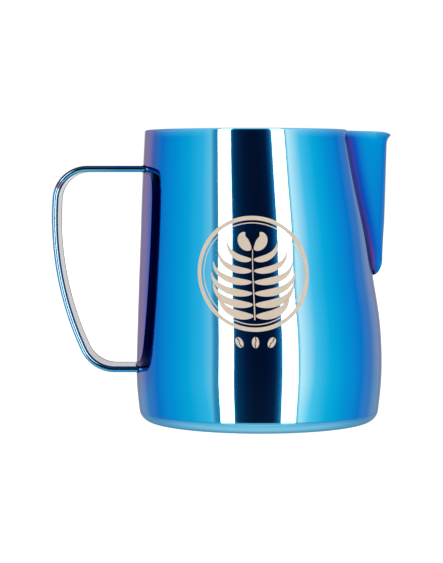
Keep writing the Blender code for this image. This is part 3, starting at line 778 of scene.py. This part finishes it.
class Nodes:
    """Small helper that lays node expressions out in code."""

    def __init__(self, tree):
        self.tree = tree

    def new(self, kind, **props):
        place = len(self.tree.nodes)
        node = self.tree.nodes.new(kind)
        node.location = (200 * (place % 8), -160 * (place // 8))
        for key, value in props.items():
            setattr(node, key, value)
        return node

    def put(self, socket, value):
        if isinstance(value, bpy.types.NodeSocket):
            self.tree.links.new(value, socket)
        else:
            socket.default_value = value

    def fill(self, node, values):
        for key, value in values.items():
            self.put(node.inputs[key], value)

    def math(self, operation, *values, clamp=False):
        node = self.new("ShaderNodeMath", operation=operation, use_clamp=clamp)
        for socket, value in zip(node.inputs, values):
            self.put(socket, value)
        return node.outputs[0]

    def add(self, first, second):
        return self.math("ADD", first, second)

    def sub(self, first, second):
        return self.math("SUBTRACT", first, second)

    def mul(self, first, second):
        return self.math("MULTIPLY", first, second)

    def rise(self, value, start, end, low=0.0, high=1.0, kind="SMOOTHSTEP"):
        """Goes from low to high while the value goes from start to end."""
        node = self.new("ShaderNodeMapRange", interpolation_type=kind)
        self.fill(node, dict(enumerate((value, start, end, low, high))))
        return node.outputs[0]

    def fall(self, value, start, end):
        return self.rise(value, start, end, low=1.0, high=0.0)

    def linear(self, value, start, end, low=0.0, high=1.0):
        return self.rise(value, start, end, low, high, kind="LINEAR")

    def window(self, value, edges):
        """1 between the middle two edges, 0 beyond the outer two."""
        return self.mul(self.rise(value, *edges[:2]), self.fall(value, *edges[2:]))

    def noise(self, vector, scale, detail, rough):
        node = self.new("ShaderNodeTexNoise")
        self.fill(node, {"Vector": vector, "Scale": scale, "Detail": detail, "Roughness": rough})
        return node.outputs["Fac"]

    def mapped(self, vector, scale):
        node = self.new("ShaderNodeMapping")
        self.fill(node, {"Vector": vector, "Scale": scale})
        return node.outputs[0]

    def xyz(self, vector):
        node = self.new("ShaderNodeSeparateXYZ")
        self.put(node.inputs[0], vector)
        return node.outputs

    def grey(self, value):
        node = self.new("ShaderNodeCombineColor")
        self.fill(node, {k: value for k in range(3)})
        return node.outputs[0]

    def mix(self, share, first, second, mode="MIX"):
        node = self.new("ShaderNodeMix", data_type="RGBA", blend_type=mode)
        # inputs 0, 6 and 7 are the factor and the two colours
        self.fill(node, {0: share, 6: first, 7: second})
        return node.outputs[2]

    def paint(self, base, mask, strength, colour, mode="MIX"):
        return self.mix(self.mul(mask, strength), base, colour, mode)

    def ramp(self, share, stops):
        """Linear colour ramp through (position, rgba) stops."""
        node = self.new("ShaderNodeValToRGB")
        node.color_ramp.interpolation = "LINEAR"
        elements = node.color_ramp.elements
        while len(elements) > 1:
            elements.remove(elements[-1])
        for i, (position, colour) in enumerate(stops):
            element = elements[0] if i == 0 else elements.new(position)
            element.position = position
            element.color = colour
        self.put(node.inputs["Fac"], share)
        return node.outputs["Color"]

    def bump(self, bsdf, height, strength, distance):
        node = self.new("ShaderNodeBump")
        self.fill(node, {"Strength": strength, "Distance": distance, "Height": height})
        self.put(bsdf.inputs["Normal"], node.outputs["Normal"])

    def bearing(self, x, y):
        """Degrees of a direction round Z from the camera's side, + towards the spout
        in the front view; also the upward part of the camera's view direction."""
        node = self.new("ShaderNodeVectorTransform", vector_type="VECTOR",
                        convert_from="CAMERA", convert_to="WORLD")
        node.inputs[0].default_value = (0.0, 0.0, 1.0)
        view_x, view_y, view_z = self.xyz(node.outputs[0])
        turn = self.math("ARCTAN2", x, self.mul(y, -1.0))
        camera_turn = self.math("ARCTAN2", self.mul(view_x, -1.0), view_y)
        turn = self.math("WRAP", self.sub(turn, camera_turn), math.pi, -math.pi)
        return self.mul(turn, 180.0 / math.pi), view_z


def start_material(name):
    """New material with its node helper, shader and geometry node."""
    mat = bpy.data.materials.new(name)
    mat.use_nodes = True
    net = Nodes(mat.node_tree)
    return mat, net, mat.node_tree.nodes["Principled BSDF"], net.new("ShaderNodeNewGeometry")


# ------------------------------------------------------------- coated steel
# Stops: degrees between the surface normal and the viewer, colour the coating
# gives white light.
TINT_STOPS = (
    # pale cyan near face on, blue at half turn, violet grey along the surface
    (0, (65, 155, 215)), (12, (100, 185, 230)), (21, (105, 195, 230)),
    (28, (40, 175, 225)), (36, (5, 160, 215)), (46, (0, 140, 210)),
    (57, (5, 115, 200)), (66, (60, 115, 185)), (77, (120, 140, 180)),
    (90, (150, 155, 175)),
)
STRAP_STOPS = (
    # the strap's copy of the coating is paler than the body's face on: painted light
    (0, (96, 172, 214)), (21, (112, 184, 220)), (32, (88, 172, 216)),
    (44, (40, 148, 206)), (54, (10, 124, 198)), (62, (36, 113, 188)),
    (70, (84, 123, 180)), (80, (128, 142, 176)), (90, (150, 155, 174)),
)
STRAP_INSIDE_STOPS = (
    # finger side of the strap: deep navy face on, painted shade that makes its reflection in the
    # wall come out black, silver grey along the surface
    (0, (14, 28, 78)), (40, (12, 22, 66)), (60, (30, 34, 66)),
    (72, (110, 112, 120)), (80, (167, 168, 172)), (90, (238, 238, 240)),
)
EDGE_TINT = (0.36, 0.36, 0.50)
HOOK_X, HOOK_Z = -0.0722, 0.0862  # mark at the top bend of the strap, metres


def normal_colour(rgb, degrees, edge_tint=EDGE_TINT):
    """Base colour that makes the metal give rgb at this angle.

    Inverts the F82 metal curve, which is linear in its base colour."""
    cosine = max(math.cos(math.radians(degrees)), 0.02)
    peak = 1.0 / 7.0
    rise = (1.0 - cosine) ** 5
    hump = cosine * (1.0 - cosine) ** 6 / (peak * (1.0 - peak) ** 6)
    top = (1.0 - peak) ** 5
    out = []
    for level, edge in zip(srgb(*rgb)[:3], edge_tint):
        wanted = level - rise + top * (1.0 - edge) * hump
        gain = (1.0 - rise) - (1.0 - top) * (1.0 - edge) * hump
        out.append(min(1.0, max(0.0, wanted / max(gain, 0.05))))
    return (*out, 1.0)


def painted_rim_and_foot_light(net, colour, height, facing):
    """Painted light: a paler band round the mouth stands in for the highlight along the rim, and
    a pale band over the foot corner for the table's reflection; also the dark line of the base
    joint.
    """
    rim_top = (RIM_HEIGHT - 0.3) * MM
    # painted highlight along the rim: the colour pales towards the rim top
    rim_highlight = net.mul(net.rise(height, start=(RIM_HEIGHT - 3.2) * MM, end=rim_top), 0.24)
    edge = net.mul(net.rise(height, start=(RIM_HEIGHT - 1.5) * MM, end=rim_top), 0.20)
    colour = net.mix(net.add(rim_highlight, edge), colour, srgb(124, 200, 226))
    # painted reflection of the table on the foot corner, paler where the corner is seen face on
    foot = net.fall(height, start=(SEAM_HEIGHT - 2.3) * MM, end=(SEAM_HEIGHT + 0.5) * MM)
    corner = net.mix(net.rise(facing, start=0.25, end=0.60),
                     srgb(160, 217, 236), srgb(108, 190, 217))
    colour = net.paint(colour, foot, strength=0.68, colour=corner)
    # dark line of the base joint
    joint = net.window(height, ((SEAM_HEIGHT - 0.30) * MM, (SEAM_HEIGHT - 0.12) * MM,
                                SEAM_HEIGHT * MM, (SEAM_HEIGHT + 0.16) * MM))
    return net.paint(colour, joint, strength=0.22, colour=srgb(20, 74, 108))


def painted_crease_shade(net, colour, height, facing):
    """Painted shade along the crease of the spout, a dark violet band that stands in for the dark
    reflection of the wall there, and painted shadow in the pit at its lower end, from the seam
    attribute.
    """
    seam = net.new("ShaderNodeAttribute", attribute_name="seam").outputs["Fac"]
    near = net.math("MULTIPLY", seam, 1.0, clamp=True)
    pit = net.math("SUBTRACT", seam, 1.0, clamp=True)
    upper = net.rise(height, start=0.056, end=0.084)
    band_shade = net.mix(upper, normal_colour((76, 62, 134), degrees=62),
                   normal_colour((56, 62, 150), degrees=62))
    # face on the painted band is darker than the plain coating
    turned = net.rise(facing, start=0.13, end=0.40, low=0.22)
    band_shade = net.mix(1.0, band_shade, net.grey(turned), "MULTIPLY")
    # painted shade: deeper blue next to the crease
    colour = net.mix(net.linear(near, start=0.0, end=0.85), colour,
                     normal_colour((6, 70, 184), degrees=58))
    # the violet band narrows towards the mouth
    violet = net.sub(net.add(near, 0.04), net.mul(upper, 0.09))
    colour = net.mix(net.rise(violet, start=0.72, end=0.945), colour, band_shade)
    # painted shadow in the notch at the pointed lower end
    colour = net.paint(colour, pit, strength=0.85, colour=srgb(32, 34, 44))
    # the painted band is lightened where it is seen in a reflection along the crease
    glossy = net.new("ShaderNodeLightPath").outputs["Is Glossy Ray"]
    return net.paint(colour, glossy, strength=0.55, colour=srgb(150, 165, 214))


def strap_painted_light_and_marks(net, geometry, colour, edge_tint):
    """Painted light and shade on the edge beads: painted shade on the upper shoulder and on the
    finger side, painted highlights on the underside and outer limb, painted shade towards the
    welds; hook mark at the top bend."""
    normal_x, normal_y, normal_z = net.xyz(geometry.outputs["Normal"])
    side = net.rise(net.math("ABSOLUTE", normal_y), start=0.05, end=0.28)
    upper = net.mul(side, net.rise(normal_z, start=0.14, end=0.46))
    finger = net.mul(side, net.rise(normal_x, start=0.50, end=0.80))
    dark = net.math("MAXIMUM", upper, finger)
    limb_highlight = net.mul(side, net.rise(net.mul(normal_x, -1.0), start=0.62, end=0.92))
    underside_highlight = net.mul(side, net.rise(net.mul(normal_z, -1.0), start=0.02, end=0.40))
    # painted highlights on the underside and on the outer limb, painted shade on the upper
    # shoulder and the finger side
    colour = net.paint(colour, underside_highlight, strength=0.75, colour=srgb(122, 218, 252))
    colour = net.paint(colour, limb_highlight, strength=0.85, colour=srgb(188, 220, 238))
    colour = net.paint(colour, dark, strength=0.92, colour=srgb(8, 42, 76))
    # the reflections are dimmed under the painted shade and paled on the painted highlight
    tint = net.mix(dark, (*edge_tint, 1.0), (0.05, 0.09, 0.14, 1.0))
    tint = net.mix(limb_highlight, tint, (0.62, 0.80, 0.92, 1.0))
    x, y, z = net.xyz(geometry.outputs["Position"])
    # painted shade: the strap darkens towards the wall, where its arms meet it
    warm = net.rise(x, start=-0.0640, end=-0.0480)
    colour = net.paint(colour, warm, strength=0.9, colour=(0.30, 0.66, 0.92, 1.0),
                       mode="MULTIPLY")
    hook_x = net.sub(x, HOOK_X)
    hook_z = net.sub(z, HOOK_Z)
    away = net.math("SQRT", net.add(net.mul(hook_x, hook_x), net.mul(hook_z, hook_z)))
    hook = net.mul(net.fall(away, start=0.0007, end=0.0021),
                   net.rise(net.math("ABSOLUTE", y), start=0.0068, end=0.0082))
    return net.paint(colour, hook, strength=0.85, colour=srgb(74, 48, 104)), tint


def coated_steel(name, rough=0.035, scratch=1.0, dull=0.0, stops=TINT_STOPS, body=False,
                 shade=1.0, edge_tint=EDGE_TINT, strap=False):
    """Vapour-deposited blue on mirror-polished steel: the interference tint
    slides from cyan to violet grey as the surface turns away."""
    mat, net, bsdf, geometry = start_material(name)
    weight = net.new("ShaderNodeLayerWeight")
    net.fill(weight, {"Blend": 0.5})
    facing = weight.outputs["Facing"]
    position = geometry.outputs["Position"]
    # coating thickness wanders a little over the pressing
    cloud = net.noise(position, scale=38.0, detail=3.0, rough=0.55)
    wander = net.mul(net.sub(cloud, 0.5), 0.008)
    colour = net.ramp(net.add(facing, wander),
                      [(1.0 - math.cos(math.radians(degrees)),
                        normal_colour(rgb, degrees, edge_tint)) for degrees, rgb in stops])
    if body:
        height = net.xyz(position)[2]
        colour = painted_rim_and_foot_light(net, colour, height, facing)
        colour = painted_crease_shade(net, colour, height, facing)
    tint = None
    if strap:
        colour, tint = strap_painted_light_and_marks(net, geometry, colour, edge_tint)
    fine = net.noise(net.mapped(position, (900.0, 900.0, 9000.0)),
                     scale=1.0, detail=3.0, rough=0.6)
    tone = net.linear(fine, start=0.3, end=0.7, low=0.985 * shade, high=1.0 * shade)
    smudge = net.noise(position, scale=55.0, detail=4.0, rough=0.6)
    net.fill(bsdf, {
        "Base Color": net.mix(1.0, colour, net.grey(tone), "MULTIPLY"),
        "Metallic": 1.0,
        "Roughness": net.linear(smudge, start=0.35, end=0.75,
                                low=rough * 0.75, high=rough * 1.5 + dull),
        "Specular Tint": (*edge_tint, 1.0),
    })
    if strap:
        net.put(bsdf.inputs["Specular Tint"], tint)
    lines = net.noise(net.mapped(position, (60.0, 60.0, 5200.0)),
                      scale=1.0, detail=2.0, rough=0.7)
    net.bump(bsdf, lines, strength=0.004 * scratch, distance=0.0004)
    return mat


# -------------------------------------------------------------- bare metals
SATIN_COLOUR = (0.80, 0.855, 0.875)
SATIN_ROUGH = 0.26
GLANCE_EDGES = (-58.0, -38.0, 36.0, 60.0)  # bearings of the lit front of the studio


def studio_glance(net, geometry):
    """How far the mirror direction of a point falls on the lit front of the studio."""
    incoming, normal = geometry.outputs["Incoming"], geometry.outputs["Normal"]
    view = net.new("ShaderNodeVectorMath", operation="SCALE")
    net.fill(view, {0: incoming, "Scale": -1.0})
    mirror = net.new("ShaderNodeVectorMath", operation="REFLECT")
    net.fill(mirror, {0: view.outputs[0], 1: normal})
    mirror_x, mirror_y, _ = net.xyz(mirror.outputs[0])
    bearing, _ = net.bearing(mirror_x, mirror_y)
    front = net.window(bearing, GLANCE_EDGES)
    dot = net.new("ShaderNodeVectorMath", operation="DOT_PRODUCT")
    net.fill(dot, {0: incoming, 1: normal})
    oblique = net.fall(dot.outputs["Value"], start=0.9990, end=0.9998)
    return net.mul(front, oblique)


def satin_steel(name, disc=False):
    """Bare stainless steel with fine turned brushing, in height or across a disc."""
    mat, net, bsdf, geometry = start_material(name)
    position = geometry.outputs["Position"]
    if disc:
        x, y, _ = net.xyz(position)
        radius = net.math("SQRT", net.add(net.mul(x, x), net.mul(y, y)))
        combine = net.new("ShaderNodeCombineXYZ")
        net.put(combine.inputs[0], net.mul(radius, 14000.0))
        grain = combine.outputs[0]
    else:
        grain = net.mapped(position, (120.0, 120.0, 16000.0))
    brush = net.noise(grain, scale=1.0, detail=3.0, rough=0.7)
    wear = net.noise(position, scale=70.0, detail=4.0, rough=0.6)
    dark = tuple(c * 0.80 for c in SATIN_COLOUR) + (1.0,)
    light = tuple(min(1.0, c * 1.12) for c in SATIN_COLOUR) + (1.0,)
    colour = net.mix(brush, dark, light)
    colour = net.paint(colour, wear, strength=0.25, colour=(0.66, 0.71, 0.725, 1.0))
    # painted shade: near the mouth, on upward-turned faces and the top of the inside, the base
    # colour darkens where the mirror direction falls on the lit front of the studio, which dims
    # the strips' reflections there
    height = net.xyz(position)[2]
    turned = net.math("MAXIMUM",
                      net.rise(net.xyz(geometry.outputs["Normal"])[2], start=0.02, end=0.12),
                      net.rise(height, start=(RIM_HEIGHT - 1.8) * MM,
                               end=(RIM_HEIGHT - 0.8) * MM))
    shaded_mouth = net.mul(turned, net.rise(height, start=0.040, end=0.060))
    colour = net.paint(colour, net.mul(studio_glance(net, geometry), shaded_mouth), strength=0.98,
                       colour=(0.035, 0.078, 0.095, 1.0))
    net.fill(bsdf, {
        "Base Color": colour,
        "Metallic": 1.0,
        "Roughness": net.linear(brush, start=0.25, end=0.8,
                                low=SATIN_ROUGH * 0.8, high=SATIN_ROUGH * 1.3),
    })
    net.bump(bsdf, brush, strength=0.16, distance=0.0002)
    return mat


def weld_metal(name, tint, rough):
    """Bare weld bead mottled with warm and cool heat colours."""
    mat, net, bsdf, geometry = start_material(name)
    position = geometry.outputs["Position"]
    mottle = net.noise(position, scale=260.0, detail=3.0, rough=0.6)
    grain = net.noise(position, scale=900.0, detail=2.0, rough=0.6)
    warm, cool = (tuple(min(1.0, a * b) for a, b in zip(tint, cast)) + (1.0,)
                  for cast in ((1.10, 0.98, 0.80), (0.80, 0.86, 1.08)))
    net.fill(bsdf, {
        "Base Color": net.mix(net.rise(mottle, start=0.35, end=0.65), warm, cool),
        "Metallic": 1.0,
        "Roughness": net.linear(grain, start=0.3, end=0.7, low=rough * 0.8, high=rough * 1.3),
    })
    net.bump(bsdf, grain, strength=0.25, distance=0.0001)
    return mat


def etched_metal(name):
    """Laser-ablated coating: bare champagne-coloured matt steel with fine hatch."""
    mat, net, bsdf, geometry = start_material(name)
    position = geometry.outputs["Position"]
    hatch = net.noise(net.mapped(position, (900.0, 900.0, 26000.0)),
                      scale=1.0, detail=2.0, rough=0.6)
    patch = net.noise(position, scale=140.0, detail=3.0, rough=0.55)
    colour = net.mix(net.rise(hatch, start=0.3, end=0.7),
                     srgb(184, 170, 153), srgb(198, 184, 168))
    colour = net.paint(colour, net.rise(patch, start=0.45, end=0.75), strength=0.35,
                       colour=srgb(172, 161, 149))
    net.fill(bsdf, {
        "Base Color": colour,
        "Metallic": 0.0,
        "Specular IOR Level": 0.04,
        "Roughness": net.linear(hatch, start=0.3, end=0.7, low=0.62, high=0.78),
    })
    net.bump(bsdf, hatch, strength=0.15, distance=0.00005)
    return mat


# ----------------------------------------------------------------- the studio
STRIP_LEVEL = (16.0, 7.5, 6.0)
STRIP_EDGES = ((-38.2, -37.8, -24.6, -24.2), (20.4, 20.8, 34.7, 35.1))  # bearings
RING_TOP = 3.0  # light level that the ramp stores as 1
STUDIO_RING = (
    # bearing from the camera (degrees, + towards the spout side), light level
    (-180, (1.00, 1.00, 1.00)), (-166, (1.00, 0.96, 0.98)),
    (-150, (1.32, 0.68, 0.68)), (-137, (1.45, 0.68, 0.82)),
    (-126, (1.00, 0.70, 0.84)), (-112, (1.00, 0.92, 0.96)),
    (-95, (1.00, 1.00, 1.00)), (-60, (1.00, 1.00, 1.00)),
    (-46.0, (1.00, 1.00, 1.00)), (-42.8, (0.20, 0.44, 0.56)),
    (-38.4, (0.10, 0.38, 0.50)), (-24.2, (0.08, 0.33, 0.46)),
    (-22.2, (0.010, 0.096, 0.168)), (-18.5, (0.007, 0.052, 0.100)),
    (-12.0, (0.006, 0.023, 0.050)), (-4.0, (0.009, 0.015, 0.034)),
    (5.0, (0.009, 0.015, 0.034)), (10.0, (0.008, 0.020, 0.048)),
    (13.4, (0.004, 0.027, 0.070)), (16.5, (0.018, 0.11, 0.19)),
    (20.5, (0.10, 0.42, 0.62)), (35.2, (0.50, 0.60, 0.65)),
    (36.2, (0.62, 0.70, 0.74)), (37.2, (3.00, 1.52, 1.23)),
    (45.0, (2.90, 1.33, 1.13)), (52.0, (2.60, 1.21, 1.09)),
    (60.0, (2.10, 1.14, 1.06)), (74.0, (1.30, 1.09, 1.04)),
    (95.0, (1.00, 1.04, 1.02)), (118.0, (1.00, 1.00, 1.00)),
    (180.0, (1.00, 1.00, 1.00)),
)
FLOOR_HALF, FLOOR_CELLS, FLOOR_Z = 3000.0, 24, -0.02  # mm


def studio_ring(net, bearing, elevation):
    """Light of the wall round the pitcher, with the two strips added."""
    share = net.math("DIVIDE", net.add(bearing, 180.0), 360.0)
    ring = net.ramp(share, [((degrees + 180.0) / 360.0, (*(c / RING_TOP for c in level), 1.0))
                            for degrees, level in STUDIO_RING])
    left, right = (net.window(bearing, edges) for edges in STRIP_EDGES)
    strips = net.mul(net.add(left, right),
                     net.rise(elevation, start=-40.0, end=-14.0, low=0.24))
    # low down the ring is darker behind the pitcher and a little warmer all round
    low = net.fall(elevation, start=-9.0, end=2.0)
    aside = net.rise(net.math("ABSOLUTE", bearing), start=112.0, end=126.0)
    foot = net.fall(elevation, start=-10.5, end=-3.0)
    ring = net.mix(net.mul(foot, aside), ring, (0.245, 0.340, 0.340, 1.0))
    warm = net.add(net.mul(low, net.sub(1.0, aside)), net.mul(foot, aside))
    ring = net.mix(warm, ring, (1.14, 1.05, 1.00, 1.0), "MULTIPLY")
    band = net.new("ShaderNodeVectorMath", operation="SCALE")
    net.fill(band, {0: ring, "Scale": RING_TOP})
    combine = net.new("ShaderNodeCombineXYZ")
    for k, level in enumerate(STRIP_LEVEL):
        net.put(combine.inputs[k], net.mul(strips, level))
    lit = net.new("ShaderNodeVectorMath", operation="ADD")
    net.fill(lit, {0: band.outputs[0], 1: combine.outputs[0]})
    return lit.outputs[0]


def build_world():
    """A white studio with two tall strip lights that stand beside the camera.

    The rig turns with the camera, so that every angle is lit alike. Mirror
    rays see the rig; matt surfaces and the backdrop see its even white."""
    world = bpy.data.worlds.new("studio")
    bpy.context.scene.world = world
    world.use_nodes = True
    world.node_tree.nodes.clear()
    net = Nodes(world.node_tree)
    x, y, z = net.xyz(net.new("ShaderNodeTexCoord").outputs["Generated"])
    bearing, view_z = net.bearing(x, y)
    height = net.math("MINIMUM", 1.0, net.math("MAXIMUM", -1.0, z))
    elevation = net.mul(net.math("ARCSINE", height), 180.0 / math.pi)
    pitch = net.mul(net.math("ARCSINE", view_z), 180.0 / math.pi)
    # above: soft overhead; below: the pale table
    low_edge = net.add(-17.0, net.mul(pitch, 1.1))
    below = net.fall(net.sub(elevation, low_edge), start=-2.6, end=-1.4)
    above = net.rise(elevation, start=36.0, end=48.0)
    colour = net.mix(below, studio_ring(net, bearing, elevation), (0.92, 0.99, 0.95, 1.0))
    colour = net.mix(above, colour, (1.4, 1.4, 1.4, 1.0))
    path = net.new("ShaderNodeLightPath")
    colour = net.mix(path.outputs["Is Camera Ray"], colour, (1.02, 1.02, 1.02, 1.0))
    colour = net.mix(path.outputs["Is Diffuse Ray"], colour, (1.30, 1.30, 1.30, 1.0))
    background = net.new("ShaderNodeBackground")
    net.fill(background, {"Color": colour, "Strength": 1.0})
    output = net.new("ShaderNodeOutputWorld")
    net.put(output.inputs["Surface"], background.outputs[0])
    # matt surfaces find the studio by their own scattered rays, so the strips stay out of them
    world.cycles.sampling_method = "NONE"


def build_floor():
    """Large pale table that fades into the backdrop."""
    ticks = np.linspace(-FLOOR_HALF, FLOOR_HALF, FLOOR_CELLS + 1)
    grid = np.stack(np.meshgrid(ticks, ticks, indexing="ij"), -1).reshape(-1, 2)
    points = np.column_stack([grid, np.full(len(grid), FLOOR_Z)]) * MM
    ids = np.arange(len(grid)).reshape(len(ticks), len(ticks))
    mesh = bpy.data.meshes.new("studio_floor")
    mesh.from_pydata(points.tolist(), [], grid_faces(ids))
    mat, net, bsdf, geometry = start_material("pale_table")
    cloud = net.noise(geometry.outputs["Position"], scale=6.0, detail=3.0, rough=0.5)
    net.fill(bsdf, {
        "Base Color": net.mix(cloud, (0.29, 0.29, 0.292, 1.0), (0.31, 0.31, 0.31, 1.0)),
        "Roughness": 0.9,
        "Specular IOR Level": 0.0,
        "Emission Color": (1.0, 1.0, 1.0, 1.0),
        "Emission Strength": 0.93,
    })
    mesh.materials.append(mat)
    obj = link_object("studio_floor", mesh)
    obj.visible_glossy = False


def build_camera():
    """Long lens on the -Y side, looking slightly down."""
    camera = bpy.data.cameras.new("camera")
    camera.lens = 122.95
    camera.sensor_width = 36.0
    camera.clip_start, camera.clip_end = 0.01, 50.0
    obj = link_object("camera", camera)
    obj.location = (-0.01369, -0.7037, 0.08867)
    obj.rotation_euler = (math.radians(90.0 - 3.078), 0.0, 0.0)
    bpy.context.scene.camera = obj


# -------------------------------------------------------------------- assemble
blue = coated_steel("coated_mirror_steel", body=True)
# the strap's copy of the coating is darkened overall to 0.68: painted shade
blue_handle = coated_steel("coated_mirror_steel_handle", rough=0.12, scratch=0.3, shade=0.68,
                           stops=STRAP_STOPS, strap=True)
strap_inside = coated_steel("coated_strap_inside", rough=0.10, stops=STRAP_INSIDE_STOPS,
                            edge_tint=(1.0, 1.0, 1.0))
# the weld collars are darkened almost to black, shade 0.05: painted shade where the strap meets
# the wall
blue_weld = coated_steel("coated_weld", rough=0.25, scratch=4.0, dull=0.05, shade=0.05)
satin = satin_steel("satin_steel_inside")
satin_floor = satin_steel("satin_steel_base", disc=True)
bead = weld_metal("weld_bead_bare", tint=(0.56, 0.54, 0.51), rough=0.30)
etched = etched_metal("etched_mark")

PIECES = (
    # piece, CAD node it stands in for, slot
    (build_wall([blue, satin]), "body_shell", "blue_steel"),
    (build_spout([blue, satin]), "spout", "blue_steel_spout"),
    (build_base([blue, satin_floor, satin_floor]), "base_pan", "blue_steel_base"),
    (build_handle([blue_handle, strap_inside]), "handle_strap", "blue_steel_handle"),
    (build_handle_bead("upper_handle_bead", TOP_Z, [blue_weld]), "handle_upper_weld",
     "weld_blue"),
    (build_handle_bead("lower_handle_bead", LOW_Z, [blue_weld]), "handle_lower_weld",
     "weld_blue"),
    (build_base_bead([bead]), "base_seam_weld", "weld_bare"),
    (build_spout_bead([bead]), "spout_seam_weld", "weld_bare"),
    (build_emblem([etched]), None, "blue_steel"),
)
for piece, cad_node, slot_name in PIECES:
    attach(piece, "root")
    if cad_node:
        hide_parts(cad_node)

build_world()
build_floor()
build_camera()

view = bpy.context.scene.view_settings
view.view_transform = "Standard"
view.look = "None"
view.exposure = 0.0
view.gamma = 1.0
